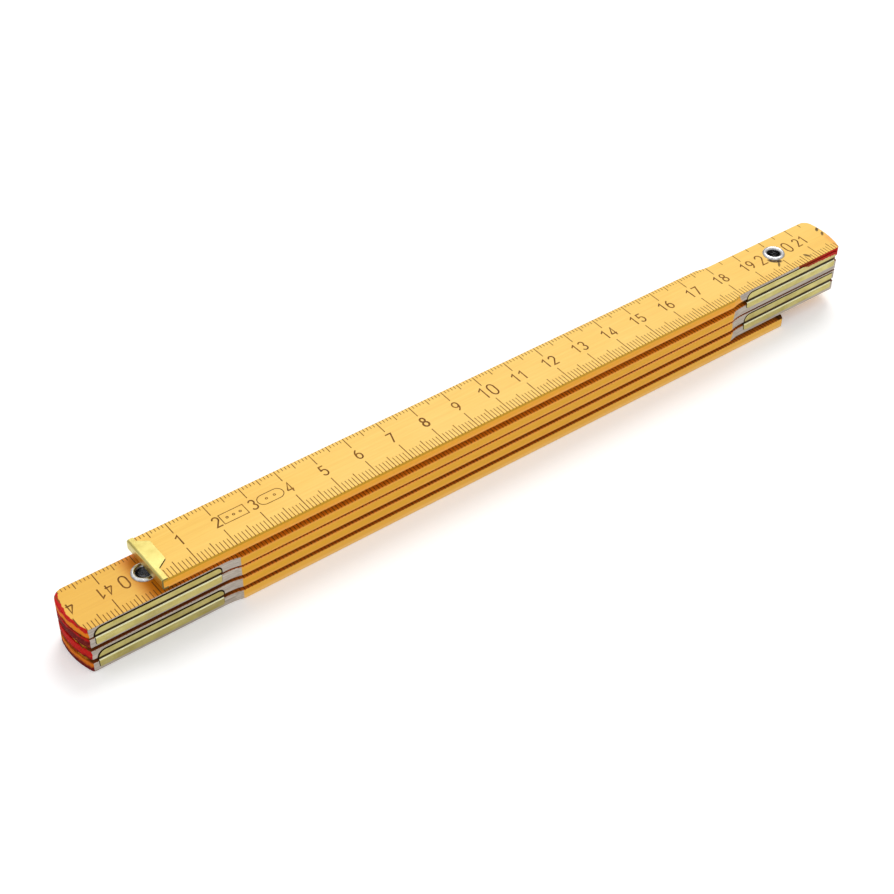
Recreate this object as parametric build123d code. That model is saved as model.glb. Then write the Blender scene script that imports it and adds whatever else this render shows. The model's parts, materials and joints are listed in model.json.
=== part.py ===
from build123d import *
import os

# Folding rule of five wooden blades, one metre long when open, shown folded into its stack.
# Millimetres, +Z up. The origin is the centre of the stack's footprint, on the underside of blade 5.
# Blade 1 is the top blade and carries the zero mark; blade 5 is the bottom one.
# Hinge 1 joins blades 1 and 2, hinge 2 joins blades 2 and 3, and so on, right and left in turn.
# "Near" is -Y and "far" is +Y.

# Blades
pivot_pitch = 200.0
blade_width = 16.0
blade_thickness = 2.85
blade_count = 5
gap_below_blade = {1: 1.8, 2: 0.4, 3: 1.0, 4: 1.1}
overhang = {"left": 21.0, "right": 18.9}
free_end_setback = 0.4
tip_radius = 22.0
near_corner_radius = 0.9
far_corner_radius = {"left": 3.4, "right": 2.6}
edge_radius = 0.2

# Lines along the blade, a little to the far side of its middle
pivot_y = 1.1
tip_crown_y = 1.4
cap_tongue_y = 1.2

# Milled waist of each blade at a hinge: what is taken off its near and far side
waist_depth = {"left": {"near": 0.7, "far": 0.0}, "right": {"near": 0.7, "far": 0.7}}
waist_flat = {"left": 16.6, "right": 18.6}
cutter_radius = 14.0

# Hinge plates: channels that wrap each blade's milled sides
plate_overlap = {"left": (17.5, 15.5), "right": (17.5, 16.0)}
plate_width = 14.9
flange_thickness = 0.5
web_thickness = 0.8
fold_radius = 0.5
half_interface = 0.15
upper_flange_height = {"left": 2.3, "right": 2.7}
lower_flange_height = {"left": 2.4, "right": 2.2}
upper_corner_radii = {"left": (1.9, 1.2), "right": (1.7, 0.3)}
lower_corner_radii = {"left": (0.4, 0.4), "right": (0.8, 0.4)}
upper_groove_width = {"left": 0.4, "right": 0.25}
lower_groove_width = 0.15

# Spring leaf and cam leaf, let into the two webs
leaf_length = 26.0
leaf_width = 9.0
leaf_thickness = 0.3
leaf_margin = 0.1
detent_radius_from_pivot = 8.5
lobe_radius = 1.4
lobe_height = 0.1
notch_radius = 1.6

# Hollow rivet
rivet_bore_radius = 1.8
rivet_tube_radius = 2.4
rivet_rim_radius = 3.15
rivet_rim_height = 0.55
running_clearance = 0.05
rivet_hole_radius = rivet_tube_radius + running_clearance
least_rim_clearance = 0.4
flare_radius = 3.05
flare_height = 0.45
washer_radius = 3.4
washer_thickness = 0.35
counterbore_radius = 3.6
counterbore_depth = 0.9

# Cap of folded brass sheet on the zero end
cap_sheet = 0.4
cap_skirt = 1.6
cap_tongue_length = 4.3
cap_tongue_base = 10.7
cap_tongue_end = 7.0
cap_tongue_radius = 0.8
cap_side_gap = 0.2
cap_proud = 0.25
cap_fold_radius = 0.55

half_width = blade_width / 2
pivot_shift = (overhang["left"] - overhang["right"]) / 2
pivot_x = {"left": pivot_shift - pivot_pitch / 2, "right": pivot_shift + pivot_pitch / 2}
hinge_numbers = range(1, blade_count)


def hinge_side(hinge):
    """Odd hinges are at the right end of the stack and even ones at the left."""
    return "right" if hinge % 2 else "left"


def blade_bottom(blade):
    """Height of a blade's underside above the underside of the bottom blade."""
    below = range(blade, blade_count)
    return sum(gap_below_blade[number] + blade_thickness for number in below)


def blade_top(blade):
    return blade_bottom(blade) + blade_thickness


def interface_height(hinge):
    """Height of the plane in which a hinge turns, midway between its two blades."""
    return blade_bottom(hinge) - gap_below_blade[hinge] / 2


def blade_hinges(blade):
    """The hinges that a blade takes part in."""
    return [hinge for hinge in hinge_numbers if blade in (hinge, hinge + 1)]


def outward(side):
    return -1 if side == "left" else 1


def rim_seat_depth(hinge):
    """How far the rivet's rim is let in, so that the blade above passes over it."""
    if hinge == 1:
        return 0.0
    free_height = gap_below_blade[hinge - 1] - least_rim_clearance
    return max(0.0, rivet_rim_height - free_height)


def end_kind(number, side):
    """Blade 1 starts in a cap, the bottom blade has a free end, and other ends are hinged."""
    if (number, side) == (1, "left"):
        return "capped"
    if (number, side) == (blade_count, "right"):
        return "free"
    return "hinged"


def end_x(number, side):
    """Where the wood of a blade ends: inside its cap, or at the crown of its rounded tip."""
    past_pivot = {"capped": -cap_sheet, "free": -free_end_setback, "hinged": overhang[side]}
    return pivot_x[side] + outward(side) * past_pivot[end_kind(number, side)]


def end_edge(number, side, start_y, finish_y):
    """The end line of a blade's outline: straight under a cap, and an arc at a tip."""
    crown = end_x(number, side)
    if end_kind(number, side) == "capped":
        return Line((crown, start_y), (crown, finish_y))

    def point_at(y):
        set_back = tip_radius - (tip_radius**2 - (y - tip_crown_y) ** 2) ** 0.5
        return (crown - outward(side) * set_back, y)

    return ThreePointArc(point_at(start_y), (crown, tip_crown_y), point_at(finish_y))


def waist_cut(side):
    """Plan of the two strips that the cutter takes off a blade's sides beside a hinge."""
    flat_end = pivot_x[side] - outward(side) * waist_flat[side]
    tip = pivot_x[side] + outward(side) * (overhang[side] + 1)
    strip_width = 2.0
    plan = Sketch()
    for edge_side, edge_name in ((-1, "near"), (1, "far")):
        if waist_depth[side][edge_name] == 0:
            continue
        waist_y = half_width - waist_depth[side][edge_name]
        strip = Rectangle(abs(tip - flat_end), strip_width)
        run_out = Circle(cutter_radius)
        plan += Pos((tip + flat_end) / 2, edge_side * (waist_y + strip_width / 2)) * strip
        plan += Pos(flat_end, edge_side * (waist_y + cutter_radius)) * run_out
    return plan


def blade_plan(number):
    """Outline of a blade from above, with its rounded tips and milled waists."""
    right_end = end_edge(number, "right", -half_width, half_width)
    left_end = end_edge(number, "left", half_width, -half_width)
    near_side = Line(left_end @ 1, right_end @ 0)
    far_side = Line(right_end @ 1, left_end @ 0)
    plan = make_face([near_side, right_end, far_side, left_end])
    for side in ("left", "right"):
        if end_kind(number, side) == "capped":
            continue
        if end_kind(number, side) == "hinged":
            plan -= waist_cut(side)
        tip_zone = end_x(number, side) - outward(side) * overhang[side] / 2
        for corner in plan.vertices().filter_by(
            lambda vertex: (vertex.X - tip_zone) * outward(side) > 0
        ):
            radius = near_corner_radius if corner.Y < 0 else far_corner_radius[side]
            plan = fillet(plan.vertices().sort_by_distance(corner)[0], radius)
    return plan


def flange_outline(hinge, upper, margin=0.0):
    """Side view of a flange, with X from the pivot and Y up from the interface."""
    side = hinge_side(hinge)
    before, after = plate_overlap[side]
    heights = upper_flange_height if upper else lower_flange_height
    corner_radii = upper_corner_radii if upper else lower_corner_radii
    length = before + after + 2 * margin
    height = heights[side] + margin
    outline = Pos((after - before) / 2, height / 2) * Rectangle(length, height)
    for index, radius in enumerate(corner_radii[side]):
        corner_x = after + margin if index else -before - margin
        corner = outline.vertices().sort_by_distance((corner_x, height, 0))[0]
        outline = fillet(corner, radius + margin)
    return outline


def plate_recess(hinge, upper):
    """What is cut from the wood: a pocket for the web, and a groove round each flange."""
    side = hinge_side(hinge)
    margin = upper_groove_width[side] if upper else lower_groove_width
    outline = flange_outline(hinge, upper, margin)
    recess = extrude(Plane.XZ * outline, amount=blade_width, both=True)
    web_top = half_interface + web_thickness
    core_width = plate_width - 2 * flange_thickness
    core = Pos(0, 0, web_top + blade_width / 2) * Box(4 * blade_width, core_width, blade_width)
    recess -= core
    if not upper:
        recess = mirror(recess, about=Plane.XY)
    return Pos(pivot_x[side], 0, interface_height(hinge)) * recess


def pivot_place(hinge, height):
    """The point on a hinge's pivot at the given height."""
    return Pos(pivot_x[hinge_side(hinge)], pivot_y, height)


def leaf_plan(margin=0.0):
    return SlotOverall(leaf_length + 2 * margin, leaf_width + 2 * margin)


def blade(number):
    """A wooden blade with its hinge recesses, rivet holes and cap recesses."""
    bottom = blade_bottom(number)
    wood = Pos(0, 0, bottom) * extrude(blade_plan(number), amount=blade_thickness)
    flat_faces = wood.faces().filter_by(Axis.Z)
    wood = fillet(flat_faces.edges(), edge_radius)
    for hinge in blade_hinges(number):
        above = number == hinge
        wood -= plate_recess(hinge, upper=above)
        hole = Cylinder(rivet_hole_radius + running_clearance, 3 * blade_thickness)
        wood -= pivot_place(hinge, bottom + blade_thickness / 2) * hole
        if above and rim_seat_depth(hinge) > 0:
            seat = Cylinder(rivet_rim_radius + running_clearance, 2 * rim_seat_depth(hinge))
            wood -= pivot_place(hinge, blade_top(number)) * seat
        if not above:
            counterbore = Cylinder(counterbore_radius, 2 * counterbore_depth)
            wood -= pivot_place(hinge, bottom) * counterbore
    if number == 1:
        upper_depth = cap_sheet - cap_proud
        leaf_recess = extrude(cap_leaf_plan(cap_side_gap), amount=cap_sheet)
        wood -= Pos(0, 0, blade_top(number) - upper_depth) * leaf_recess
        wood -= Pos(0, 0, bottom) * leaf_recess
    return wood


def hinge_plate(hinge, upper):
    """A channel plate: its web faces the other blade and its flanges wrap the milled sides."""
    side = hinge_side(hinge)
    before, after = plate_overlap[side]
    height = (upper_flange_height if upper else lower_flange_height)[side] - half_interface
    outer = Pos(0, half_interface + height / 2) * Rectangle(plate_width, height)
    folds = outer.vertices().group_by(Axis.Y)[0]
    outer = fillet(folds, fold_radius)
    hollow_width = plate_width - 2 * flange_thickness
    hollow_bottom = half_interface + web_thickness
    hollow = Pos(0, hollow_bottom + height / 2) * Rectangle(hollow_width, height)
    channel = extrude(Plane.YZ * (outer - hollow), amount=before + after)
    channel = Pos(-before, 0, 0) * channel
    plate = channel & extrude(
        Plane.XZ * flange_outline(hinge, upper), amount=blade_width, both=True
    )
    leaf_pocket = extrude(leaf_plan(leaf_margin), amount=leaf_thickness)
    plate -= Pos(0, pivot_y, half_interface) * leaf_pocket
    plate -= Pos(0, pivot_y, 0) * Cylinder(rivet_hole_radius, 4 * web_thickness)
    if not upper:
        plate = mirror(plate, about=Plane.XY)
    return Pos(pivot_x[side], 0, interface_height(hinge)) * plate


def spring_leaf(hinge):
    """The sprung leaf above the interface, with two lobes that snap into the cam leaf."""
    leaf = Pos(0, 0, half_interface) * extrude(leaf_plan(), amount=leaf_thickness)
    for direction in (-1, 1):
        lobe = Cylinder(lobe_radius, lobe_height)
        lobe = fillet(lobe.edges().group_by(Axis.Z)[0], lobe_height / 2)
        lobe_middle = half_interface - lobe_height / 2
        leaf += Pos(direction * detent_radius_from_pivot, 0, lobe_middle) * lobe
    leaf -= Cylinder(rivet_hole_radius, 4)
    return pivot_place(hinge, interface_height(hinge)) * leaf


def cam_leaf(hinge):
    """The leaf below the interface, with two notches for the spring leaf's lobes."""
    leaf = Pos(0, 0, -half_interface) * extrude(leaf_plan(), amount=-leaf_thickness)
    for direction in (-1, 1):
        notch = Cylinder(notch_radius, 2 * lobe_height)
        leaf -= Pos(direction * detent_radius_from_pivot, 0, -half_interface) * notch
    leaf -= Cylinder(rivet_hole_radius, 4)
    return pivot_place(hinge, interface_height(hinge)) * leaf


def washer_top(hinge):
    return blade_bottom(hinge + 1) + counterbore_depth - running_clearance


def rivet(hinge):
    """A hollow rivet with a rolled rim above and a flare against its washer below."""
    seat = blade_top(hinge) - rim_seat_depth(hinge)
    flare_top = washer_top(hinge) - washer_thickness
    flare_bottom = flare_top - flare_height
    rim_middle = (rivet_bore_radius + rivet_rim_radius) / 2
    flare_middle = (rivet_bore_radius + flare_radius) / 2
    rim = ThreePointArc(
        (rivet_bore_radius, seat), (rim_middle, seat + rivet_rim_height), (rivet_rim_radius, seat)
    )
    flare = ThreePointArc(
        (flare_radius, flare_top), (flare_middle, flare_bottom), (rivet_bore_radius, flare_top)
    )
    shank = Polyline((rivet_rim_radius, seat), (rivet_tube_radius, seat),
                     (rivet_tube_radius, flare_top), (flare_radius, flare_top))
    bore = Line((rivet_bore_radius, flare_top), (rivet_bore_radius, seat))
    section = make_face([rim, *shank.edges(), flare, bore])
    turned = revolve(Plane.XZ * section, axis=Axis.Z)
    return pivot_place(hinge, 0) * turned


def washer(hinge):
    ring = Cylinder(washer_radius, washer_thickness) - Cylinder(rivet_tube_radius, 2)
    middle = washer_top(hinge) - washer_thickness / 2
    return pivot_place(hinge, middle) * ring


def cap_leaf_plan(side_gap=0.0):
    """Outline of the cap's leaf: a skirt across the blade and a tapered tongue along it."""
    base_half = cap_tongue_base / 2 + side_gap
    end_half = cap_tongue_end / 2 + side_gap
    skirt = Pos(cap_skirt / 2, 0) * Rectangle(cap_skirt, blade_width)
    near_half = [(0, -base_half), (cap_skirt, -base_half), (cap_tongue_length, -end_half)]
    far_half = [(x, -y) for x, y in reversed(near_half)]
    tongue = make_face(Polyline(*near_half, *far_half, close=True))
    tongue = fillet(tongue.vertices().group_by(Axis.X)[-1], cap_tongue_radius)
    return Pos(pivot_x["left"], 0) * (skirt + Pos(0, cap_tongue_y) * tongue)


def start_cap():
    """Folded sheet cap: an end plate with one leaf on each face of blade 1."""
    bottom = blade_bottom(1)
    top = blade_top(1) + cap_proud
    leaf = extrude(cap_leaf_plan(), amount=cap_sheet)
    middle_x = pivot_x["left"] + cap_sheet / 2
    end_plate = Pos(middle_x, 0, (top + bottom) / 2) * Box(cap_sheet, blade_width, top - bottom)
    cap = end_plate + Pos(0, 0, top - cap_sheet) * leaf + Pos(0, 0, bottom) * leaf
    folds = cap.edges().filter_by(Axis.Y).filter_by(
        lambda edge: abs(edge.center().X - pivot_x["left"]) < 1e-3
    )
    return fillet(folds, cap_fold_radius)


def build():
    """Every separate piece, by name."""
    pieces = {f"blade_{number}": blade(number) for number in range(1, blade_count + 1)}
    for hinge in hinge_numbers:
        pieces[f"hinge_{hinge}_upper_plate"] = hinge_plate(hinge, upper=True)
        pieces[f"hinge_{hinge}_lower_plate"] = hinge_plate(hinge, upper=False)
        pieces[f"hinge_{hinge}_spring_leaf"] = spring_leaf(hinge)
        pieces[f"hinge_{hinge}_cam_leaf"] = cam_leaf(hinge)
        pieces[f"hinge_{hinge}_rivet"] = rivet(hinge)
        pieces[f"hinge_{hinge}_washer"] = washer(hinge)
    pieces["start_cap"] = start_cap()
    return pieces


os.makedirs("parts", exist_ok=True)
for name, shape in build().items():
    export_step(shape, f"parts/{name}.step")
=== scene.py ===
import json
import math
import bmesh
import bpy
from mathutils import Matrix, Vector
from mathutils.bvhtree import BVHTree


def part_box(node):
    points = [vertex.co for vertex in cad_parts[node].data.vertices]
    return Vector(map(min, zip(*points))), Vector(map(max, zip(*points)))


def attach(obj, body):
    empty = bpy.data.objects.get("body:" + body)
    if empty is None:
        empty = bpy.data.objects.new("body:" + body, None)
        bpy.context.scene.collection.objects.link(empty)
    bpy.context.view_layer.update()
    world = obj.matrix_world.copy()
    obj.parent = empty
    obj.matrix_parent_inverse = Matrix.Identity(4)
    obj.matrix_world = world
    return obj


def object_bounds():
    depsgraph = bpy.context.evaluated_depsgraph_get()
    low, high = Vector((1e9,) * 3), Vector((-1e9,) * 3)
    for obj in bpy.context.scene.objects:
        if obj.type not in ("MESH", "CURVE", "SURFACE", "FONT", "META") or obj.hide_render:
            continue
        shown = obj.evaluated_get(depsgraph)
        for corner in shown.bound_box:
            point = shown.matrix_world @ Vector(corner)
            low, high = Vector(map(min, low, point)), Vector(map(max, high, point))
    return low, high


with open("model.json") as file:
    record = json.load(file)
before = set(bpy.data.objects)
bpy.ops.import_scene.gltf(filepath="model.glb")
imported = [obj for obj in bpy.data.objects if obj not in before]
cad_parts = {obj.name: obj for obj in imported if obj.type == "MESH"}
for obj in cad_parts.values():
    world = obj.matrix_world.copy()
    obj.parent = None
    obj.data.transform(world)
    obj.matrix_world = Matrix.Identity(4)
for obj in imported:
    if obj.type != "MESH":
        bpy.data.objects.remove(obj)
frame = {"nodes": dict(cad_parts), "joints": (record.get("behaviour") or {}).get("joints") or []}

cad_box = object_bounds()

MM = 0.001
CM = 10 * MM
BLADES = range(1, 6)
HINGES = range(1, 5)

pivots = {joint["name"]: Vector(joint["pos_m"]) for joint in frame["joints"]}
left_pivot_x = pivots["hinge_2"].x
right_pivot_x = pivots["hinge_1"].x
pivot_y = pivots["hinge_1"].y
half_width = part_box("blade_1")[1].y
top_face_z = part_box("blade_1")[1].z
edge_radius = 0.2 * MM
tip_radius = 22 * MM

# Printed scale. Ink stands ink_height above a face and is rooted ink_root below it. A digit's later strokes
# are lifted by stroke_lift, so that crossing strokes don't share a surface.
ink_height = 0.012 * MM
ink_root = 0.010 * MM
stroke_lift = 0.002 * MM
tick_widths = {"cm": 0.24 * MM, "half": 0.22 * MM, "mm": 0.19 * MM}
long_ticks = {"cm": 5.9 * MM, "half": 4.0 * MM, "mm": 3.0 * MM}
short_ticks = {"cm": 4.2 * MM, "half": 2.3 * MM, "mm": 1.3 * MM}
shortest_tick = 0.5 * MM
numeral_height = 3.7 * MM
decade_height = 4.6 * MM
numeral_gap = 0.5 * MM
numeral_stroke = 0.40 * MM
heavy_stroke = 0.50 * MM
numeral_line_y = 1.0 * MM
split_decade_offset = 5.1 * MM
blade_centimetres = 20

# Print keeps this far from a rivet's middle and from a plate, and lies only where a blade is this flat.
rivet_clearance = 3.7 * MM
plate_clearance = 0.15 * MM
flatness = 0.03 * MM


# ---------------------------------------------------------------- small closed meshes


class Ink:
    """Collects thin closed prisms into one mesh."""

    def __init__(self):
        self.vertices = []
        self.faces = []

    def add_strip(self, rings, closed=False):
        """Joins four-cornered rings into a prism, capped at both ends unless it is a closed loop."""
        start = len(self.vertices)
        for ring in rings:
            self.vertices.extend(ring)
        count = len(rings)
        for index in range(count if closed else count - 1):
            here = start + 4 * index
            there = start + 4 * ((index + 1) % count)
            for corner in range(4):
                following = (corner + 1) % 4
                self.faces.append((here + corner, here + following, there + following, there + corner))
        if not closed:
            last = start + 4 * (count - 1)
            self.faces.append((start + 3, start + 2, start + 1, start))
            self.faces.append((last, last + 1, last + 2, last + 3))

    def make(self, name, body, material):
        mesh = bpy.data.meshes.new(name)
        mesh.from_pydata(self.vertices, [], self.faces)
        mesh.validate()
        mesh.materials.append(material)
        piece = bpy.data.objects.new(name, mesh)
        bpy.context.scene.collection.objects.link(piece)
        fix_normals(mesh)
        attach(piece, body)


def fix_normals(mesh):
    """Turns every face of a mesh of closed prisms outwards."""
    work = bmesh.new()
    work.from_mesh(mesh)
    bmesh.ops.recalc_face_normals(work, faces=work.faces)
    work.to_mesh(mesh)
    work.free()


def ribbon_rings(path, width, closed, place):
    """Rings along a flat path, mitred at its corners. place maps (across, up, rise) to a point."""
    count = len(path)
    rings = []
    for index, point in enumerate(path):
        before = path[index - 1] if index or closed else None
        after = path[(index + 1) % count] if index < count - 1 or closed else None
        into = (point - before).normalized() if before is not None else None
        out = (after - point).normalized() if after is not None else None
        along = (into or out) + (out or into)
        along.normalize()
        normal = Vector((-along.y, along.x))
        stretch = max(0.5, normal.dot(Vector((-(into or out).y, (into or out).x))))
        offset = normal * (width / 2 / stretch)
        left = point + offset
        right = point - offset
        rings.append([
            place(left.x, left.y, -ink_root),
            place(right.x, right.y, -ink_root),
            place(right.x, right.y, ink_height),
            place(left.x, left.y, ink_height),
        ])
    return rings


# ---------------------------------------------------------------- numerals drawn with strokes


def arc(centre_x, centre_y, radius_x, radius_y, start, end, steps=14):
    """Points along an elliptical arc, with angles in degrees."""
    points = []
    for index in range(steps + 1):
        angle = math.radians(start + (end - start) * index / steps)
        points.append(Vector((centre_x + radius_x * math.cos(angle), centre_y + radius_y * math.sin(angle))))
    return points


def line(*points):
    return [Vector(point) for point in points]


numeral_aspect = 0.5


def digit_strokes(digit):
    """Centre lines of a digit in a box half as wide as high, as (points, is it a closed loop)."""
    six = [
        (arc(0.25, 0.31, 0.20, 0.265, 0, 360, 24)[:-1], True),
        (arc(0.46, 0.36, 0.41, 0.59, 110, 180, 10), False),
    ]
    if digit == 0:
        oval = arc(0.25, 0.66, 0.20, 0.29, 0, 180, 12) + arc(0.25, 0.34, 0.20, 0.29, 180, 360, 12)
        return [(oval, True)]
    if digit == 1:
        return [(line((0.08, 0.74), (0.30, 0.95), (0.30, 0.04)), False)]
    if digit == 2:
        return [(arc(0.25, 0.71, 0.20, 0.24, 170, -35, 14) + line((0.05, 0.05), (0.47, 0.05)), False)]
    if digit == 3:
        upper = arc(0.24, 0.735, 0.18, 0.215, 160, -80, 14)
        lower = arc(0.24, 0.285, 0.21, 0.235, 80, -160, 14)
        return [(upper, False), (lower, False)]
    if digit == 4:
        mast = line((0.38, 0.04), (0.38, 0.95), (0.04, 0.28))
        crossbar = line((0.04, 0.28), (0.49, 0.28))
        return [(mast, False), (crossbar, False)]
    if digit == 5:
        flag = line((0.43, 0.95), (0.11, 0.95), (0.08, 0.56))
        return [(flag + arc(0.24, 0.33, 0.21, 0.28, 125, -155, 14), False)]
    if digit == 6:
        return six
    if digit == 7:
        return [(line((0.04, 0.95), (0.46, 0.95), (0.17, 0.04)), False)]
    if digit == 8:
        upper = arc(0.25, 0.745, 0.165, 0.205, 0, 360, 20)[:-1]
        lower = arc(0.25, 0.285, 0.205, 0.235, 0, 360, 20)[:-1]
        return [(upper, True), (lower, True)]
    half_turn = Vector((numeral_aspect, 1.0))
    return [([half_turn - point for point in points], closed) for points, closed in six]


class Face:
    """The top or underside of a blade, and the stretches of it that plates cover."""

    def __init__(self, blade, facing):
        node = frame["nodes"][f"blade_{blade}"]
        low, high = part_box(f"blade_{blade}")
        mesh = node.data
        self.blade = blade
        self.facing = facing
        self.z = high.z if facing > 0 else low.z
        self.tree = BVHTree.FromPolygons(
            [vertex.co for vertex in mesh.vertices], [polygon.vertices for polygon in mesh.polygons])
        self.covered = []
        for hinge in HINGES:
            if facing < 0 and hinge == blade:
                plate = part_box(f"hinge_{hinge}_upper_plate")
            elif facing > 0 and hinge == blade - 1:
                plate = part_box(f"hinge_{hinge}_lower_plate")
            else:
                continue
            self.covered.append((plate[0].x - plate_clearance, plate[1].x + plate_clearance))

    def is_flat_at(self, x, y):
        """True where the blade's own face is there and bare: no plate, pocket, hole or cap."""
        if any(low < x < high for low, high in self.covered):
            return False
        start = Vector((x, y, self.z + self.facing * MM))
        hit = self.tree.ray_cast(start, Vector((0, 0, -self.facing)), 2 * MM)[0]
        return hit is not None and abs(hit.z - self.z) < flatness

    def edge_y(self, x, side):
        """How far out the blade's long edge is at x, or None past the end."""
        below_rounding = self.z - self.facing * 1.2 * edge_radius
        start = Vector((x, side * 2 * half_width, below_rounding))
        hit = self.tree.ray_cast(start, Vector((0, -side, 0)), 2 * half_width)[0]
        return hit.y if hit is not None else None


def add_tick(ink, face, x, side, length, width):
    """A printed line from a long edge inwards, wrapped a little way over the rounded edge."""
    edge = face.edge_y(x, side)
    if edge is None or abs(edge) < half_width / 2:
        return
    inner = side * (half_width - length)
    for pivot_x in (left_pivot_x, right_pivot_x):
        if abs(x - pivot_x) < rivet_clearance:
            free = pivot_y + side * rivet_clearance
            inner = side * max(side * inner, side * free)
    flat_end = edge - side * edge_radius
    if side * (flat_end - inner) < shortest_tick:
        return
    just_inside = flat_end - side * edge_radius / 2
    if not (face.is_flat_at(x, inner) and face.is_flat_at(x, just_inside)):
        return
    profile = [(inner, face.z, 0.0), (flat_end, face.z, 0.0)]
    for angle in (math.radians(38), math.radians(76)):
        y = flat_end + side * edge_radius * math.sin(angle)
        z = face.z - face.facing * edge_radius * (1 - math.cos(angle))
        profile.append((y, z, angle))
    rings = []
    for y, z, angle in profile:
        out = Vector((0, side * math.sin(angle), face.facing * math.cos(angle)))
        centre = Vector((x, y, z))
        across = Vector((width / 2, 0, 0))
        low = centre - out * ink_root
        high = centre + out * ink_height
        rings.append([low - across, low + across, high + across, high - across])
    ink.add_strip(rings)


def tick_kind(millimetre):
    if millimetre % 10 == 0:
        return "cm"
    return "half" if millimetre % 5 == 0 else "mm"


def marks_along(blade, spacing):
    """The marks that lie on a blade, counted from the zero mark over the left pivot."""
    low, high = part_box(f"blade_{blade}")
    first = math.ceil((low.x - left_pivot_x) / spacing)
    last = math.floor((high.x - left_pivot_x) / spacing)
    return range(first, last + 1)


def make_ticks(face, material):
    """Both scales of one face: long ticks along the near edge of a top face, short ones opposite."""
    ink = Ink()
    for millimetre in marks_along(face.blade, MM):
        x = left_pivot_x + millimetre * MM
        kind = tick_kind(millimetre)
        width = tick_widths[kind]
        add_tick(ink, face, x, -face.facing, long_ticks[kind], width)
        add_tick(ink, face, x, face.facing, short_ticks[kind], width)
    side_name = "top" if face.facing > 0 else "underside"
    ink.make(f"blade_{face.blade}_ticks_{side_name}", f"blade_{face.blade}_body", material)


def add_digit(ink, face, digit, centre, height, turn, stroke):
    """Draws one digit. turn is 1 for upright and -1 for half a turn round."""
    width = height * numeral_aspect

    def place(u, v, rise):
        x = centre.x + turn * u
        y = centre.y + turn * face.facing * v
        return Vector((x, y, face.z + face.facing * rise))

    corners = [place(u * width / 2, v * height / 2, 0) for u in (-1, 1) for v in (-1, 1)]
    if not all(face.is_flat_at(corner.x, corner.y) for corner in corners):
        return
    for index, (points, closed) in enumerate(digit_strokes(digit)):
        path = [(point - Vector((numeral_aspect / 2, 0.5))) * height for point in points]
        lift = index * stroke_lift
        rings = ribbon_rings(path, stroke, closed, lambda u, v, rise: place(u, v, rise + lift))
        ink.add_strip(rings, closed)


def scale_value(blade, centimetre):
    """What the scale reads at a centimetre of the stack. It runs back and forth from blade to blade."""
    start = 2 * blade_centimetres * (blade // 2)
    return start + centimetre if blade % 2 else start - centimetre


def add_number(ink, face, value, x, turn):
    """A number centred on its centimetre line, or split round the rivet where one stands there.

    The 8 on the top face is printed bolder than the rest.
    """
    y = face.facing * numeral_line_y
    height = decade_height if value % 10 == 0 else numeral_height
    digits = [int(character) for character in str(value)]
    advance = height * numeral_aspect + numeral_gap
    at_rivet = min(abs(x - left_pivot_x), abs(x - right_pivot_x)) < MM
    if at_rivet:
        advance = 2 * split_decade_offset if len(digits) == 2 else split_decade_offset
    bold = value == 8 and face.facing > 0
    stroke = heavy_stroke if bold else numeral_stroke
    for index, digit in enumerate(digits):
        shift = (index - (len(digits) - 1) / 2) * advance
        add_digit(ink, face, digit, Vector((x + turn * shift, y)), height, turn, stroke)


def make_numerals(face, material):
    ink = Ink()
    turn = 1 if face.blade % 2 else -1
    for centimetre in marks_along(face.blade, CM):
        value = scale_value(face.blade, centimetre)
        if value <= 0 or value >= 100:
            continue
        add_number(ink, face, value, left_pivot_x + centimetre * CM, turn)
    if face.blade == 1 and face.facing > 0:
        add_plain_marks(ink, face)
    side_name = "top" if face.facing > 0 else "underside"
    ink.make(f"blade_{face.blade}_numerals_{side_name}", f"blade_{face.blade}_body", material)


def add_plain_marks(ink, face):
    """Two plain outlines between the first numbers, with dots in them: they stand for no real mark."""
    stroke = 0.22 * MM
    half_height = 1.7 * MM
    box_half_length = 3.3 * MM
    oval_half_straight = 1.8 * MM
    dot_radius = 0.28 * MM
    box_middle = Vector((left_pivot_x + 24.6 * MM, numeral_line_y))
    oval_middle = Vector((left_pivot_x + 34.8 * MM, numeral_line_y))

    def outline(points, middle):
        def place(u, v, rise):
            return Vector((middle.x + u, middle.y + v, face.z + rise))
        ink.add_strip(ribbon_rings(points, stroke, True, place), True)

    def dots(shifts, middle):
        circle = arc(0, 0, dot_radius, dot_radius, 0, 360, 12)[:-1]
        for shift in shifts:
            outline(circle, middle + Vector((shift, 0)))

    corners = [(-1, -1), (1, -1), (1, 1), (-1, 1)]
    outline([Vector((u * box_half_length, v * half_height)) for u, v in corners], box_middle)
    dots((-1.8 * MM, 0, 1.8 * MM), box_middle)
    oval = arc(oval_half_straight, 0, half_height, half_height, -90, 90, 12)
    oval += arc(-oval_half_straight, 0, half_height, half_height, 90, 270, 12)
    outline(oval, oval_middle)
    dots((-1.1 * MM, 1.1 * MM), oval_middle)


# ---------------------------------------------------------------- node helpers


def srgb(red, green, blue):
    """A linear colour from 0-255 display values."""
    def linear(value):
        value = value / 255
        return value / 12.92 if value <= 0.04045 else ((value + 0.055) / 1.055) ** 2.4
    return (linear(red), linear(green), linear(blue), 1.0)


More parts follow.
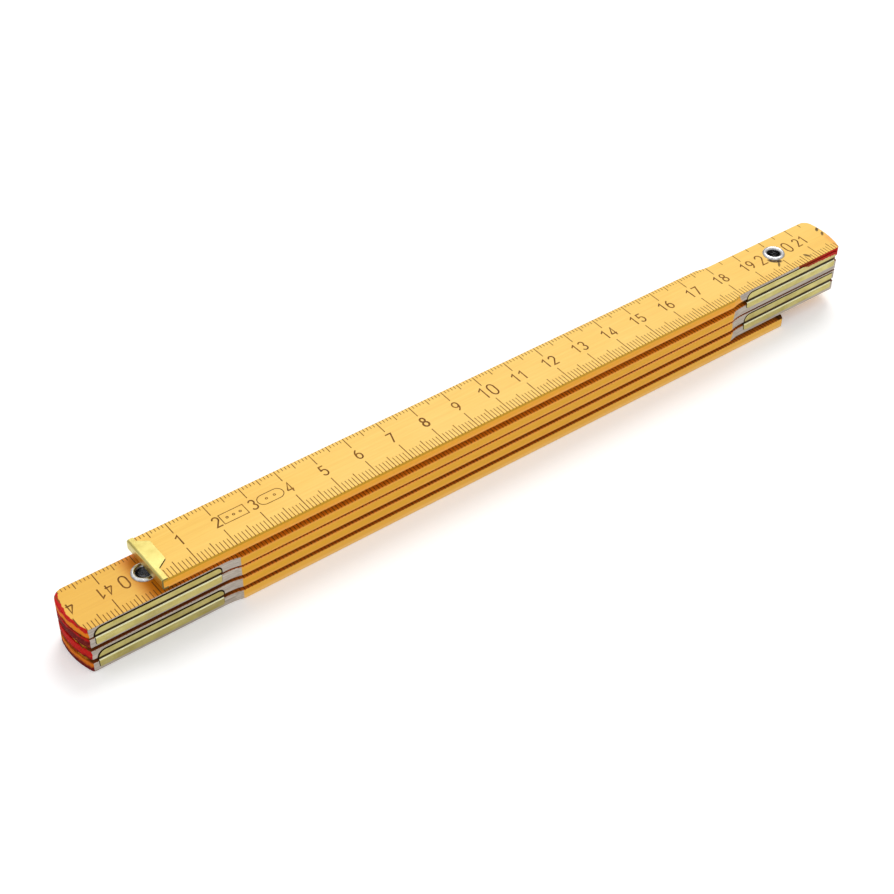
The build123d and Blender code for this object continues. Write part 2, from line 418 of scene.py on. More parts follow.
class Shading:
    """A material's node tree, with short ways to add what the finishes need."""

    def __init__(self, name, **shader_values):
        self.material = bpy.data.materials.new(name)
        self.material.use_nodes = True
        self.tree = self.material.node_tree
        self.tree.nodes.clear()
        output = self.tree.nodes.new("ShaderNodeOutputMaterial")
        self.shader = self.tree.nodes.new("ShaderNodeBsdfPrincipled")
        self.link(self.shader.outputs["BSDF"], output.inputs["Surface"])
        for socket, value in shader_values.items():
            self.shader.inputs[socket.replace("_", " ")].default_value = value
        coordinates = self.tree.nodes.new("ShaderNodeTexCoord")
        self.place = coordinates.outputs["Object"]
        self.normal = coordinates.outputs["Normal"]

    def link(self, source, target):
        self.tree.links.new(source, target)

    def feed(self, socket, value):
        """Sets a socket from another node's output, or from a plain value."""
        if isinstance(value, bpy.types.NodeSocket):
            self.link(value, socket)
        else:
            socket.default_value = value

    def math(self, operation, first, second=0.0, clamp=False):
        node = self.tree.nodes.new("ShaderNodeMath")
        node.operation = operation
        node.use_clamp = clamp
        self.feed(node.inputs[0], first)
        self.feed(node.inputs[1], second)
        return node.outputs[0]

    def axes(self, vector):
        node = self.tree.nodes.new("ShaderNodeSeparateXYZ")
        self.link(vector, node.inputs[0])
        return node.outputs["X"], node.outputs["Y"], node.outputs["Z"]

    def stretched(self, factors, shift=0.0):
        """The object's own coordinates, scaled along each axis."""
        node = self.tree.nodes.new("ShaderNodeMapping")
        self.link(self.place, node.inputs["Vector"])
        node.inputs["Scale"].default_value = factors
        node.inputs["Location"].default_value = (shift, shift, shift)
        return node.outputs["Vector"]

    def noise(self, vector, scale, detail=4.0, roughness=0.55, distortion=0.0):
        node = self.tree.nodes.new("ShaderNodeTexNoise")
        self.link(vector, node.inputs["Vector"])
        node.inputs["Scale"].default_value = scale
        node.inputs["Detail"].default_value = detail
        node.inputs["Roughness"].default_value = roughness
        node.inputs["Distortion"].default_value = distortion
        return node.outputs["Fac"]

    def over(self, value, low, high):
        """0 below low and 1 above high, with a smooth step between."""
        node = self.tree.nodes.new("ShaderNodeMapRange")
        node.interpolation_type = "SMOOTHSTEP"
        self.feed(node.inputs["Value"], value)
        node.inputs["From Min"].default_value = low
        node.inputs["From Max"].default_value = high
        return node.outputs["Result"]

    def spread(self, value, low, high, to_low, to_high):
        """Carries the range low..high to to_low..to_high in a straight line."""
        node = self.tree.nodes.new("ShaderNodeMapRange")
        self.feed(node.inputs["Value"], value)
        node.inputs["From Min"].default_value = low
        node.inputs["From Max"].default_value = high
        node.inputs["To Min"].default_value = to_low
        node.inputs["To Max"].default_value = to_high
        return node.outputs["Result"]

    def both(self, first, second):
        return self.math("MULTIPLY", first, second)

    def neither(self, value):
        return self.math("SUBTRACT", 1.0, value)

    def blend(self, share, first, second, mode="MIX"):
        node = self.tree.nodes.new("ShaderNodeMix")
        node.data_type = "RGBA"
        node.blend_type = mode
        self.feed(node.inputs["Factor"], share)
        self.feed(node.inputs[6], first)
        self.feed(node.inputs[7], second)
        return node.outputs[2]

    def ramp(self, value, *stops):
        """Colours at places from 0 to 1."""
        node = self.tree.nodes.new("ShaderNodeValToRGB")
        self.feed(node.inputs["Fac"], value)
        elements = node.color_ramp.elements
        elements[0].position, elements[0].color = stops[0]
        elements[1].position, elements[1].color = stops[-1]
        for position, colour in stops[1:-1]:
            elements.new(position).color = colour
        return node.outputs["Color"]

    def bump(self, height, distance, strength=1.0):
        node = self.tree.nodes.new("ShaderNodeBump")
        self.link(height, node.inputs["Height"])
        node.inputs["Distance"].default_value = distance
        node.inputs["Strength"].default_value = strength
        self.link(node.outputs["Normal"], self.shader.inputs["Normal"])


# ---------------------------------------------------------------- finishes


lacquer_yellow = srgb(245, 196, 80)
lacquer_grain = srgb(238, 184, 68)
lacquer_thin = srgb(248, 204, 98)
lacquer_orange = srgb(236, 134, 30)
lacquer_cap_shade = srgb(212, 116, 8)
lacquer_edge_shade = srgb(204, 106, 14)
joint_shade = srgb(104, 40, 16)
lower_top_tint = (0.91, 0.82, 0.52, 1.0)
side_first = srgb(241, 167, 46)
side_first_low = srgb(246, 170, 72)
side_lower = srgb(232, 170, 46)
side_lower_edge = srgb(240, 172, 72)
side_line = srgb(198, 148, 28)
side_last_lit = srgb(246, 186, 74)
side_last_lit_edge = srgb(255, 204, 118)
bare_wood_light = srgb(205, 195, 182)
bare_wood_dark = srgb(162, 150, 138)
# Painted shade for grooves, recesses and shadowed corners, not a colour of the wood or brass.
painted_deep_shade = srgb(34, 22, 10)
scrape_and_shadow_brown = srgb(52, 30, 6)
plate_groove_shade = srgb(66, 46, 8)
end_red = srgb(190, 14, 8)
end_dark_red = srgb(104, 2, 2)
end_orange = srgb(222, 122, 8)
end_worn = srgb(190, 92, 12)
strip_red = srgb(186, 26, 20)
strip_brown = srgb(142, 50, 12)

plate_dull = srgb(170, 156, 88)
plate_brass = srgb(198, 187, 116)
plate_light = srgb(216, 206, 142)
plate_fold_highlight = srgb(255, 252, 206)
plate_rubbed = srgb(178, 168, 138)

cap_dull = srgb(188, 172, 98)
cap_brass = srgb(203, 189, 114)
cap_light = srgb(214, 202, 130)
cap_scratch = srgb(178, 158, 84)
nickel_shade = srgb(176, 176, 178)
nickel_grey = srgb(222, 222, 224)
nickel_bright = srgb(240, 240, 240)
steel_stain = srgb(104, 98, 90)
steel_grey = srgb(146, 146, 148)
steel_bright = srgb(178, 180, 184)
steel_streak = srgb(96, 94, 92)
ink_dark = srgb(96, 58, 18)
ink_brown = srgb(124, 80, 28)
ink_rubbed = srgb(168, 118, 44)

# How deep a cut beside the right hinge goes, in millimetres, before the lacquer is gone: at the lower and at
# the upper edge of each blade's side.
first_cut = {1: (0.66, 0.46), 2: (0.04, 0.18), 3: (0.12, 0.02), 4: (0.05, 0.30), 5: (0.05, 0.05)}

# Lacquer on the sides, from the lower edge up: (share of the height, colour). Blade 5's side has painted
# light: it is made lighter, most at its lower edge.
middle_side_bands = (
    (0.0, side_lower_edge), (0.14, side_lower_edge), (0.30, side_lower),
    (0.72, side_lower), (0.86, side_lower_edge), (1.0, lacquer_orange),
)
side_bands = {
    1: (
        (0.0, side_first_low), (0.20, side_first_low), (0.34, side_first), (0.68, side_first),
        (0.78, side_line), (0.93, side_line), (1.0, lacquer_yellow),
    ),
    2: middle_side_bands,
    3: middle_side_bands,
    4: middle_side_bands,
    # Painted light: blade 5's side is made lighter, most at its lower edge.
    5: ((0.0, side_last_lit_edge), (0.22, side_last_lit_edge), (0.50, side_last_lit), (1.0, side_last_lit)),
}

# Paint on each blade's ends, from the lower edge up: (share of the height, colour).
end_bands = {
    1: ((0.0, end_dark_red), (1.0, end_red)),
    2: ((0.0, end_dark_red), (0.22, end_orange), (0.58, end_orange), (0.70, end_red), (1.0, end_red)),
    3: ((0.0, end_dark_red), (0.70, end_dark_red), (1.0, end_red)),
    4: ((0.0, end_dark_red), (0.35, end_red), (1.0, end_red)),
    5: ((0.0, end_dark_red), (0.40, end_dark_red), (0.58, end_worn), (0.85, end_orange), (1.0, end_worn)),
}


def blade_finish(blade):
    """Lacquered wood, bare where the cutter took the sides off, and painted red on its rounded ends."""
    low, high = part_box(f"blade_{blade}")
    shading = Shading(f"lacquered_wood_{blade}", Coat_Roughness=0.25, Specular_IOR_Level=0.30)
    x, y, z = shading.axes(shading.place)
    normal_x, _, normal_z = shading.axes(shading.normal)
    flat = shading.over(shading.math("ABSOLUTE", normal_z), 0.55, 0.75)
    height = shading.spread(z, low.z, high.z, 0.0, 1.0)
    from_middle = shading.math("ABSOLUTE", shading.math("SUBTRACT", height, 0.5))
    skin = shading.both(flat, shading.over(from_middle, 0.40, 0.43))
    inset = shading.math("SUBTRACT", half_width, shading.math("ABSOLUTE", y))
    wide = lacquered_side(shading, blade, x, inset, height)
    grain = shading.noise(shading.stretched((9, 260, 260), 0.37 * blade), 6.0, 5.0, 0.62, 0.25)
    streaks = shading.noise(shading.stretched((40, 1400, 1400)), 2.2, 3.0, 0.6)

    side = shading.ramp(height, *side_bands[blade])
    side = shading.blend(shading.spread(grain, 0.35, 0.68, 0.18, 0.0), side, side_line)
    colour = shading.blend(wide, bare_wood(shading, inset, grain, streaks), side)
    top = face_lacquer(shading, blade, low, high, x, inset, grain, streaks)
    colour = shading.blend(skin, colour, top)
    dull = shading.both(near_cap_mask(shading, x, inset), 0.8) if blade == 2 else 0.0
    painted_end = end_mask(shading, low, high, x, normal_x)
    if blade > 1:
        lap = end_lap_mask(shading, low, x, y, skin)
        painted_end = shading.math("MAXIMUM", painted_end, lap)
        dull = shading.math("MAXIMUM", dull, lap)
    colour = shading.blend(painted_end, colour, end_paint(shading, blade, x, height))
    if blade == 1:
        # Scrapes and dents, and a painted shadow beside the rivet's rim.
        scrape_and_shadow = damage_mask(shading, x, y, skin)
        dull = scrape_and_shadow
        colour = shading.blend(strip_mask(shading, x, y, flat), colour, strip_colour(shading, x))
        colour = shading.blend(scrape_and_shadow, colour, scrape_and_shadow_brown)
        colour = shading.blend(end_tint_mask(shading, x, y, skin), colour, lacquer_orange)
        # Painted shade in the recess round the cap's tongue.
        colour = shading.blend(cap_gap_mask(shading, x, height, flat), colour, painted_deep_shade)
    if blade == 5:
        # Painted shadow on blade 5's right end, under blade 4.
        end_shadow = dark_end_mask(shading, high, x, y, skin)
        dull = shading.math("MAXIMUM", dull, end_shadow)
        colour = shading.blend(end_shadow, colour, painted_deep_shade)

    shading.link(colour, shading.shader.inputs["Base Color"])
    lacquered = shading.math("MAXIMUM", wide, skin)
    glossy = shading.both(skin, shading.neither(dull))
    shading.link(shading.spread(lacquered, 0.0, 1.0, 0.80, 0.38), shading.shader.inputs["Roughness"])
    shading.link(shading.spread(glossy, 0.0, 1.0, 0.12, 0.35), shading.shader.inputs["Specular IOR Level"])
    shading.link(shading.both(glossy, 0.22), shading.shader.inputs["Coat Weight"])
    relief = shading.math("ADD", shading.both(grain, 0.6), shading.both(streaks, 0.4))
    shading.bump(relief, 0.05 * MM, 0.30)
    return shading.material


def face_lacquer(shading, blade, low, high, x, inset, grain, streaks):
    """Cloudy yellow lacquer on the faces. It is darker below blade 1, with painted shade along the edges
    under the next blade, beside the cap and in the gaps near the hinges.
    """
    cloud = shading.noise(shading.stretched((1, 2.2, 2.2)), 42.0 + blade, 3.0, 0.5)
    top = shading.ramp(grain, (0.25, lacquer_grain), (0.60, lacquer_yellow), (0.85, lacquer_thin))
    top = shading.blend(shading.spread(streaks, 0.35, 0.7, 0.0, 0.10), top, lacquer_grain)
    top = shading.blend(shading.spread(cloud, 0.35, 0.65, 0.0, 0.40), top, lacquer_thin)
    if blade == 1:
        return top
    top = shading.blend(1.0, top, lower_top_tint, "MULTIPLY")
    # Painted shade, in orange, along the edges that lie under the next blade.
    edge_shade_colour = lacquer_orange if blade == 2 else lacquer_edge_shade
    top = shading.blend(deep_lacquer_mask(shading, x, inset, blade), top, edge_shade_colour)
    if blade == 2:
        # Painted amber shade on blade 2 beside the cap.
        top = shading.blend(shading.both(near_cap_mask(shading, x, inset), 0.9), top, lacquer_cap_shade)
    # Painted shade in the gaps between blades near the hinges.
    top = shading.blend(hinge_grime_mask(shading, low, high, x, inset, blade), top, joint_shade)
    if blade == 5:
        return top
    worn_tip = high.x - 1.3 * MM
    return shading.blend(shading.over(x, worn_tip, worn_tip + 0.4 * MM), top, bare_wood_dark)


def bare_wood(shading, inset, grain, streaks):
    """Cut wood without lacquer, with painted shade where the cut is deepest, in the groove beside the
    plates.
    """
    groove_depth = 0.76 * MM
    bare = shading.ramp(streaks, (0.30, bare_wood_dark), (0.62, bare_wood_light))
    bare = shading.blend(shading.spread(grain, 0.35, 0.7, 0.35, 0.0), bare, bare_wood_dark)
    groove = shading.over(inset, groove_depth, groove_depth + 0.1 * MM)
    # Painted shade in the bottom of the groove beside the plates.
    return shading.blend(shading.both(groove, 0.92), bare, painted_deep_shade)


def lacquered_side(shading, blade, x, inset, height):
    """1 where a side still has its lacquer, and 0 where the cutter has gone deeper than the lacquer."""
    lower, upper = first_cut[blade]
    left_limit = 0.08
    depth = shading.math("DIVIDE", inset, MM)
    at_right = shading.math("GREATER_THAN", x, 0.0)
    limit = shading.spread(height, 0.0, 1.0, lower - left_limit, upper - left_limit)
    limit = shading.math("ADD", shading.both(at_right, limit), left_limit)
    return shading.neither(shading.over(shading.math("SUBTRACT", depth, limit), 0.0, 0.05))


def deep_lacquer_mask(shading, x, inset, blade):
    """Painted shade along a blade's edges where it lies under the next blade."""
    fade = (1.0 * MM, 3.2 * MM)
    near_edge = shading.neither(shading.over(inset, *fade))
    if blade > 2:
        return near_edge
    cover_start = left_pivot_x - 0.6 * MM
    covered = shading.over(x, cover_start, cover_start + 1.6 * MM)
    return shading.both(near_edge, covered)


def near_cap_mask(shading, x, inset):
    """Painted amber shade on blade 2 beside the cap, and on along the edges under blade 1."""
    start = left_pivot_x - 5.5 * MM
    end = left_pivot_x + 7.0 * MM
    fade = 5.0 * MM
    edge_fade = (2.4 * MM, 3.6 * MM)
    past_start = shading.over(x, start, start + fade)
    before_end = shading.neither(shading.over(x, end - fade, end))
    at_edge = shading.both(shading.neither(shading.over(inset, *edge_fade)), 0.6)
    return shading.both(past_start, shading.math("MAXIMUM", before_end, at_edge))


def hinge_grime_mask(shading, low, high, x, inset, blade):
    """Painted shade along the edges under the hinges, in the gaps between the blades. Edges that lie open
    get less or none.
    """
    left_reach = 42 * MM
    right_reach = 40 * MM
    fade = 6 * MM
    edge_fade = (2.2 * MM, 3.4 * MM)
    at_left = shading.neither(shading.over(x, low.x + left_reach - fade, low.x + left_reach))
    at_right = shading.over(x, high.x - right_reach, high.x - right_reach + fade)
    at_edge = shading.both(shading.neither(shading.over(inset, *edge_fade)), 0.85)
    if blade == 2:
        return shading.both(at_right, at_edge)
    if blade == 5:
        at_right = shading.both(at_right, 0.15)
    return shading.both(shading.math("MAXIMUM", at_left, at_right), at_edge)


def cap_gap_mask(shading, x, height, flat):
    """Painted shade on the bottom of the recess round the cap's tongue."""
    recess_end = left_pivot_x + 5.0 * MM
    recess = shading.neither(shading.over(height, 0.965, 0.98))
    near_cap = shading.neither(shading.over(x, recess_end - 0.4 * MM, recess_end))
    return shading.both(shading.both(recess, near_cap), flat)


def wander(shading, scale, reach, detail=3.0, roughness=0.6):
    """A length that wanders between -reach and reach, to make an edge of paint ragged."""
    noise = shading.noise(shading.place, scale, detail, roughness)
    return shading.spread(noise, 0.3, 0.7, -reach, reach)


def end_mask(shading, low, high, x, normal_x):
    """Where the red end paint lies: the rounded end faces and a ragged line over their edges."""
    paint_start = (high.x - low.x) / 2 - 5.2 * MM
    ragged = shading.noise(shading.place, 900.0, 3.0, 0.6)
    reach = shading.spread(ragged, 0.3, 0.7, 0.30, 0.55)
    faces_out = shading.math("GREATER_THAN", shading.math("ABSOLUTE", normal_x), reach)
    from_middle = shading.math("ABSOLUTE", shading.math("SUBTRACT", x, (low.x + high.x) / 2))
    near_end = shading.over(from_middle, paint_start, paint_start + 0.4 * MM)
    return shading.both(faces_out, near_end)


def end_lap_mask(shading, low, x, y, skin):
    """Red paint lapped a little way over the face at a blade's rounded left end."""
    lap_edge = tip_radius - 0.75 * MM
    lap_end = low.x + 5.0 * MM
    along = shading.math("SUBTRACT", x, low.x + tip_radius)
    squares = shading.math("ADD", shading.both(along, along), shading.both(y, y))
    reach = shading.math("ADD", shading.math("SQRT", squares), wander(shading, 700.0, 0.25 * MM))
    at_end = shading.neither(shading.over(x, lap_end, lap_end + 1.0 * MM))
    outer = shading.over(reach, lap_edge, lap_edge + 0.15 * MM)
    return shading.both(shading.both(outer, at_end), skin)


def end_paint(shading, blade, x, height):
    """Red end paint in uneven bands, worn to orange in places, and to the wood at the lower right ends."""
    waves = shading.noise(shading.stretched((1, 1, 0.6)), 260.0 + 40 * blade, 3.0, 0.6)
    uneven = shading.math("ADD", height, shading.spread(waves, 0.3, 0.7, -0.16, 0.16))
    paint_colour = shading.ramp(uneven, *end_bands[blade])
    patches = shading.noise(shading.stretched((1, 1, 1.6)), 620.0 + 40 * blade, 4.0, 0.65, 0.6)
    worn = shading.both(shading.over(patches, 0.60, 0.70), 0.6)
    paint_colour = shading.blend(worn, paint_colour, end_worn)
    if blade == 1:
        return paint_colour
    at_right = shading.math("GREATER_THAN", x, 0.0)
    return shading.blend(shading.both(at_right, 0.8), paint_colour, bare_wood_dark)


def strip_mask(shading, x, y, flat):
    """The red strip along the near side of blade 1, above the plate's outer half."""
    start = right_pivot_x + 1.6 * MM
    near_limit = half_width - 0.80 * MM
    edge = shading.math("ADD", x, wander(shading, 1500.0, 0.5 * MM, 2.0, 0.5))
    outer = shading.over(edge, start, start + 0.25 * MM)
    near = shading.over(shading.math("MULTIPLY", y, -1.0), near_limit, near_limit + 0.08 * MM)
    return shading.both(shading.both(outer, near), shading.neither(flat))


def strip_colour(shading, x):
    """The strip is worn brown at its inner end and stays red at the blade's tip."""
    brown_until = right_pivot_x + 4.0 * MM
    red_from = right_pivot_x + 15.0 * MM
    place = shading.math("ADD", x, wander(shading, 520.0, 2.5 * MM))
    return shading.blend(shading.over(place, brown_until, red_from), strip_brown, strip_red)


def spot(shading, x, y, centre, half_size, turn):
    """A soft oval on a face, with its long axis turned by an angle in degrees."""
    across = shading.math("SUBTRACT", x, centre[0])
    up = shading.math("SUBTRACT", y, centre[1])
    squares = []
    for angle, size in zip((turn, turn + 90), half_size):
        share_across = shading.both(across, math.cos(math.radians(angle)) / size)
        share_up = shading.both(up, math.sin(math.radians(angle)) / size)
        part = shading.math("ADD", share_across, share_up)
        squares.append(shading.both(part, part))
    return shading.neither(shading.over(shading.math("ADD", *squares), 0.5, 1.3))


# Marks on blade 1 near the right rivet, in millimetres: (centre from the rivet's x and the blade's middle,
# half size, angle of the long axis in degrees, strength). The second is painted shadow beside the rivet's
# rim.
scrape_and_shadow_marks = (
    ((-2.3, -3.4), (1.2, 0.36), 48, 0.80),
    # Painted shadow hugging the rivet's rim on its near left side.
    ((-2.1, -1.5), (2.1, 0.95), -44, 1.0),
    ((6.9, -5.0), (1.2, 0.48), -58, 0.85),
    ((18.0, 2.3), (1.0, 0.48), 45, 0.90),
    ((17.8, 0.0), (1.0, 0.42), 48, 0.85),
)


def damage_mask(shading, x, y, skin):
    """Small scrapes and dents round the rivet and at the right end of blade 1, and a painted shadow beside
    the rivet's rim.
    """
    total = 0.0
    for centre, half_size, turn, strength in scrape_and_shadow_marks:
        place = (right_pivot_x + centre[0] * MM, centre[1] * MM)
        mark = spot(shading, x, y, place, [size * MM for size in half_size], turn)
        total = shading.math("MAXIMUM", shading.both(mark, strength), total)
    ragged = shading.spread(shading.noise(shading.place, 2200.0, 3.0, 0.6), 0.30, 0.50, 0.75, 1.0)
    return shading.both(shading.both(total, ragged), skin)


def end_tint_mask(shading, x, y, skin):
    """Orange lacquer worn through at the near side of blade 1's right end."""
    slant = 0.12
    start = right_pivot_x + 16.4 * MM
    side_fade = (-2.5 * MM, 0.5 * MM)
    end = shading.over(shading.math("SUBTRACT", x, shading.both(y, slant)), start, start + 1.8 * MM)
    near = shading.neither(shading.over(y, *side_fade))
    return shading.both(shading.both(shading.both(end, near), 0.45), skin)


def dark_end_mask(shading, high, x, y, skin):
    """Painted shadow on the near corner of blade 5's right end, where blade 4 overhangs it."""
    start = high.x - 4.8 * MM
    side_fade = (-6.2 * MM, -5.2 * MM)
    end = shading.over(x, start, start + 1.6 * MM)
    near = shading.neither(shading.over(y, *side_fade))
    return shading.both(shading.both(shading.both(end, near), 0.85), skin)


# How far the painted groove shade reaches up the upper plate's flange from its fold, at left and right
# hinges.
groove_shade_height = (0.62 * MM, 0.74 * MM)


def plate_finish(hinge, upper):
    """Brass-plated steel with drawn streaks along the flange, a painted highlight on the lower plate's fold,
    and painted shade in the groove between the plates.
    """
    name = f"hinge_{hinge}_{'upper' if upper else 'lower'}_plate"
    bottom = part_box(name)[0].z
    shading = Shading(f"brass_plated_steel_{name}")
    x, y, z = shading.axes(shading.place)
    normal_z = shading.axes(shading.normal)[2]
    drawn = shading.noise(shading.stretched((25, 900, 900)), 3.0, 4.0, 0.6)
    tarnish = shading.noise(shading.stretched((1, 1.5, 1.5)), 190.0, 4.0, 0.6)
    colour = shading.ramp(tarnish, (0.30, plate_dull), (0.55, plate_brass), (0.80, plate_light))
    colour = shading.blend(shading.spread(drawn, 0.3, 0.7, 0.45, 0.0), colour, plate_dull)
    rubs = shading.noise(shading.stretched((140, 500, 900), 0.11), 1.0, 5.0, 0.7, 0.4)
    colour = shading.blend(shading.spread(rubs, 0.52, 0.72, 0.0, 0.55), colour, plate_rubbed)
    upward = shading.over(normal_z, 0.12, 0.5)
    highlight_share = 0.0
    if not upper:
        # Painted highlight on the lower plate's rounded fold, made partly non-metallic so it shows.
        colour = shading.blend(upward, colour, plate_fold_highlight)
        highlight_share = shading.both(upward, 0.45)
        upward = shading.over(normal_z, 0.76, 0.90)
    # Painted shade in the groove between the plates, on folds and edges that face up or down beside the
    # flange.
    downward = shading.over(shading.math("MULTIPLY", normal_z, -1.0), 0.02, 0.25)
    flange_start = half_width - 1.7 * MM
    beside_flange = shading.over(shading.math("ABSOLUTE", y), flange_start, flange_start + 0.5 * MM)
    covered = shading.both(shading.math("MAXIMUM", upward, downward), beside_flange)
    if upper:
        band = groove_shade_height[hinge % 2]
        softness = 0.08 * MM
        in_groove = shading.neither(shading.over(z, bottom + band - softness, bottom + band + softness))
        covered = shading.math("MAXIMUM", covered, in_groove)
    colour = shading.blend(covered, colour, plate_groove_shade)
    if upper and hinge == 1:
        coverage = paint_over_plate_mask(shading, x, z)
        colour = shading.blend(coverage, colour, strip_colour(shading, x))
        covered = shading.math("MAXIMUM", covered, coverage)
    shading.link(shading.spread(drawn, 0.3, 0.7, 0.36, 0.26), shading.shader.inputs["Roughness"])
    bare_metal = shading.neither(shading.math("MAXIMUM", covered, highlight_share))
    shading.link(bare_metal, shading.shader.inputs["Metallic"])
    shading.link(shading.spread(covered, 0.0, 1.0, 0.5, 0.05), shading.shader.inputs["Specular IOR Level"])
    shading.link(colour, shading.shader.inputs["Base Color"])
    shading.bump(drawn, 0.02 * MM, 0.35)
    return shading.material


def paint_over_plate_mask(shading, x, z):
    """The red strip's lower edge: it runs down over the plate towards the right end."""
    corner_x = right_pivot_x + 3.0 * MM
    corner_z = top_face_z - 1.05 * MM
    fall = 0.030
    dip_depth = 0.50 * MM
    dip_reach = (-0.5 * MM, 2.0 * MM)
    strip_start = (-1.5 * MM, -1.1 * MM)
    softness = 0.05 * MM
    along = shading.math("SUBTRACT", x, corner_x)
    dip = shading.both(shading.over(along, *dip_reach), dip_depth)
    lower_edge = shading.math("SUBTRACT", corner_z, shading.math("ADD", shading.both(along, fall), dip))
    ragged_z = shading.math("ADD", z, wander(shading, 1300.0, 0.22 * MM))
    above = shading.over(shading.math("SUBTRACT", ragged_z, lower_edge), -softness, softness)
    return shading.both(above, shading.over(along, *strip_start))


def cap_finish():
    """Bright brass sheet with fine scratches and a few dull spots, and painted shade on its faces turned to
    the near side.
    """
    shading = Shading("brass_sheet", Metallic=1.0)
    scratches = shading.noise(shading.stretched((900, 90, 900)), 3.0, 3.0, 0.7)
    spots = shading.noise(shading.place, 260.0, 4.0, 0.6)
    colour = shading.ramp(spots, (0.30, cap_dull), (0.52, cap_brass), (0.76, cap_light))
    colour = shading.blend(shading.spread(scratches, 0.55, 0.75, 0.0, 0.18), colour, cap_scratch)
    # Painted shade on the sheet's faces that turn to the near side.
    normal_y = shading.axes(shading.normal)[1]
    near_side_shade = shading.over(shading.math("MULTIPLY", normal_y, -1.0), 0.6, 0.8)
    colour = shading.blend(shading.both(near_side_shade, 0.75), colour, painted_deep_shade)
    shading.link(colour, shading.shader.inputs["Base Color"])
    shading.link(shading.spread(spots, 0.3, 0.7, 0.36, 0.30), shading.shader.inputs["Roughness"])
    shading.bump(scratches, 0.02 * MM, 0.25)
    return shading.material


def nickel_finish():
    """Bright nickel plate, faintly rippled by the riveting tool."""
    shading = Shading("nickel_plated_brass", Metallic=1.0)
    ripples = shading.noise(shading.place, 1200.0, 3.0, 0.5)
    colour = shading.ramp(ripples, (0.30, nickel_shade), (0.55, nickel_grey), (0.78, nickel_bright))
    shading.link(colour, shading.shader.inputs["Base Color"])
    shading.link(shading.spread(ripples, 0.3, 0.7, 0.26, 0.14), shading.shader.inputs["Roughness"])
    shading.bump(ripples, 0.03 * MM, 0.3)
    return shading.material


def spring_finish():
    """Plain rolled spring steel with oil stains."""
    shading = Shading("spring_steel", Metallic=1.0)
    rolled = shading.noise(shading.stretched((20, 700, 700)), 3.0, 4.0, 0.6)
    stains = shading.noise(shading.place, 260.0, 3.0, 0.6)
    colour = shading.ramp(stains, (0.30, steel_stain), (0.52, steel_grey), (0.75, steel_bright))
    colour = shading.blend(shading.spread(rolled, 0.35, 0.7, 0.3, 0.0), colour, steel_streak)
    shading.link(colour, shading.shader.inputs["Base Color"])
    shading.link(shading.spread(rolled, 0.3, 0.7, 0.42, 0.28), shading.shader.inputs["Roughness"])
    shading.bump(rolled, 0.02 * MM, 0.4)
    return shading.material


def ink_finish():
    """Brown-black printing ink, rubbed thin here and there."""
    shading = Shading("printing_ink", Specular_IOR_Level=0.08)
    rubbed = shading.noise(shading.place, 380.0, 4.0, 0.6)
    colour = shading.ramp(rubbed, (0.30, ink_dark), (0.52, ink_brown), (0.76, ink_rubbed))
    shading.link(colour, shading.shader.inputs["Base Color"])
    shading.link(shading.spread(rubbed, 0.3, 0.7, 0.45, 0.6), shading.shader.inputs["Roughness"])
    return shading.material


def paint(node, material):
    """Gives a CAD node's slots one material."""
    slots = frame["nodes"][node].data.materials
    slots.clear()
    slots.append(material)


def paint_frame():
    for blade in BLADES:
        paint(f"blade_{blade}", blade_finish(blade))
    nickel = nickel_finish()
    spring = spring_finish()
    for hinge in HINGES:
        paint(f"hinge_{hinge}_upper_plate", plate_finish(hinge, upper=True))
        paint(f"hinge_{hinge}_lower_plate", plate_finish(hinge, upper=False))
        for name in ("rivet", "washer"):
            paint(f"hinge_{hinge}_{name}", nickel)
        for name in ("spring_leaf", "cam_leaf"):
            paint(f"hinge_{hinge}_{name}", spring)
    paint("start_cap", cap_finish())


def print_scales():
    ink = ink_finish()
    for blade in BLADES:
        for facing in (1, -1):
            face = Face(blade, facing)
            make_ticks(face, ink)
            make_numerals(face, ink)


# ---------------------------------------------------------------- stage, light and camera

horizon_strength = 0.30
zenith_strength = 0.95
zenith_rise = 0.8
white = (1.0, 1.0, 1.0, 1.0)
floor_colour = (0.90, 0.90, 0.90, 1.0)
floor_glow = 0.22
floor_size = 6.0
floor_gap = 0.02 * MM
key_place = (1.3, 1.2, 2.6)
key_size = 1.6
key_power = 34.0

camera_azimuth = math.radians(-37.15)
camera_elevation = math.radians(41.85)
camera_roll = math.radians(0.58)
camera_distance = 450.7 * MM
camera_aim = Vector((-19.95 * MM, -9.7 * MM, top_face_z))
camera_sensor = 36.0
camera_lens = 74.36
camera_clip_start = CM


def make_floor():
    """A pale sheet just under the rule."""
    mesh = bpy.data.meshes.new("floor")
    half = floor_size / 2
    level = cad_box[0].z - floor_gap
    corners = [(-half, -half, level), (half, -half, level), (half, half, level), (-half, half, level)]
    mesh.from_pydata(corners, [], [(0, 1, 2, 3)])
    shading = Shading("floor_white", Roughness=0.8, Specular_IOR_Level=0.1)
    shading.shader.inputs["Base Color"].default_value = floor_colour
    shading.shader.inputs["Emission Color"].default_value = white
    shading.shader.inputs["Emission Strength"].default_value = floor_glow
    mesh.materials.append(shading.material)
    floor = bpy.data.objects.new("floor", mesh)
    bpy.context.scene.collection.objects.link(floor)


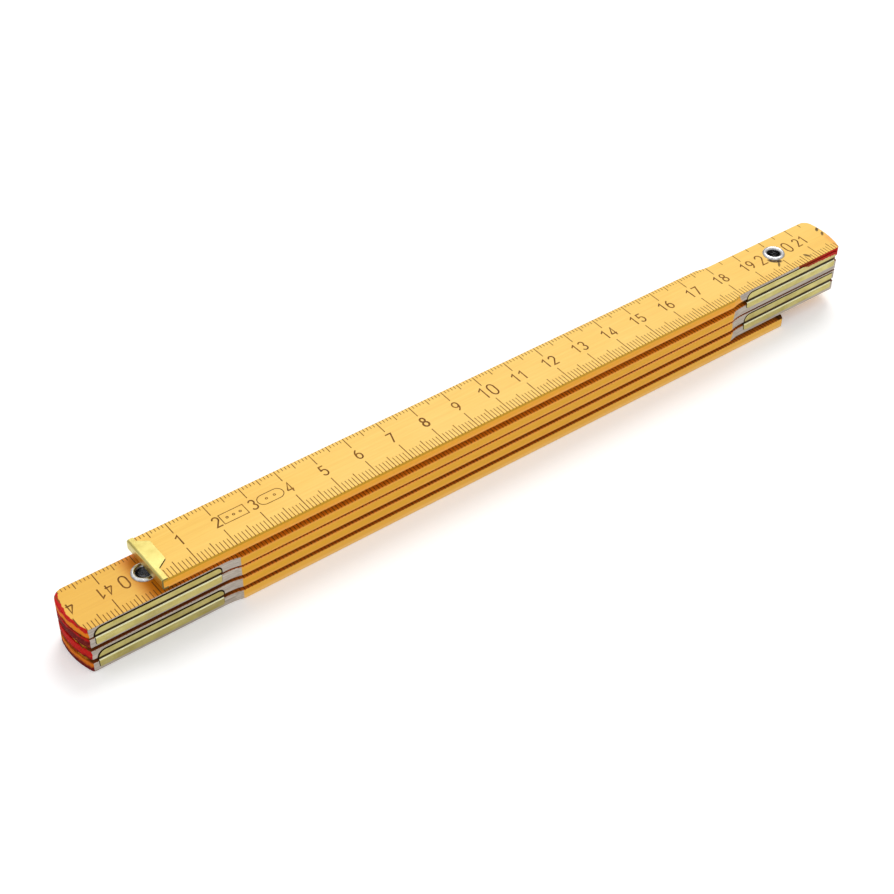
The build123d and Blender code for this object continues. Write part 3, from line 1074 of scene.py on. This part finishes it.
def make_area_light(name, place, size, power):
    """A round lamp aimed at the frame's origin."""
    light = bpy.data.lights.new(name, "AREA")
    light.shape = "DISK"
    light.size = size
    light.energy = power
    lamp = bpy.data.objects.new(name, light)
    lamp.location = place
    lamp.rotation_mode = "QUATERNION"
    lamp.rotation_quaternion = (-Vector(place)).to_track_quat("-Z", "Y")
    bpy.context.scene.collection.objects.link(lamp)


def make_light():
    """A pale room, brightest overhead, with one large soft lamp high up behind the rule."""
    world = bpy.data.worlds.new("studio")
    world.use_nodes = True
    nodes = world.node_tree.nodes
    links = world.node_tree.links
    background = nodes["Background"]
    direction = nodes.new("ShaderNodeTexCoord")
    parts = nodes.new("ShaderNodeSeparateXYZ")
    links.new(direction.outputs["Generated"], parts.inputs[0])
    rise = nodes.new("ShaderNodeMapRange")
    links.new(parts.outputs["Z"], rise.inputs["Value"])
    rise.inputs["From Min"].default_value = 0.0
    rise.inputs["From Max"].default_value = zenith_rise
    rise.inputs["To Min"].default_value = horizon_strength
    rise.inputs["To Max"].default_value = zenith_strength
    links.new(rise.outputs["Result"], background.inputs["Strength"])
    background.inputs["Color"].default_value = white
    bpy.context.scene.world = world
    make_area_light("key", key_place, key_size, key_power)
    bpy.context.scene.view_settings.view_transform = "Standard"


def make_camera():
    """A camera at the photographer's place, given by its angles and distance from the point it looks at."""
    level = math.cos(camera_elevation)
    back = Vector((
        math.sin(camera_azimuth) * level,
        -math.cos(camera_azimuth) * level,
        math.sin(camera_elevation),
    ))
    data = bpy.data.cameras.new("camera")
    data.sensor_width = camera_sensor
    data.lens = camera_lens
    data.clip_start = camera_clip_start
    camera = bpy.data.objects.new("camera", data)
    camera.rotation_mode = "QUATERNION"
    turned = (-back).to_track_quat("-Z", "Y").to_matrix().to_4x4() @ Matrix.Rotation(camera_roll, 4, "Z")
    camera.location = camera_aim + back * camera_distance
    camera.rotation_quaternion = turned.to_quaternion()
    bpy.context.scene.collection.objects.link(camera)
    bpy.context.scene.camera = camera


paint_frame()
print_scales()
make_floor()
make_light()
make_camera()
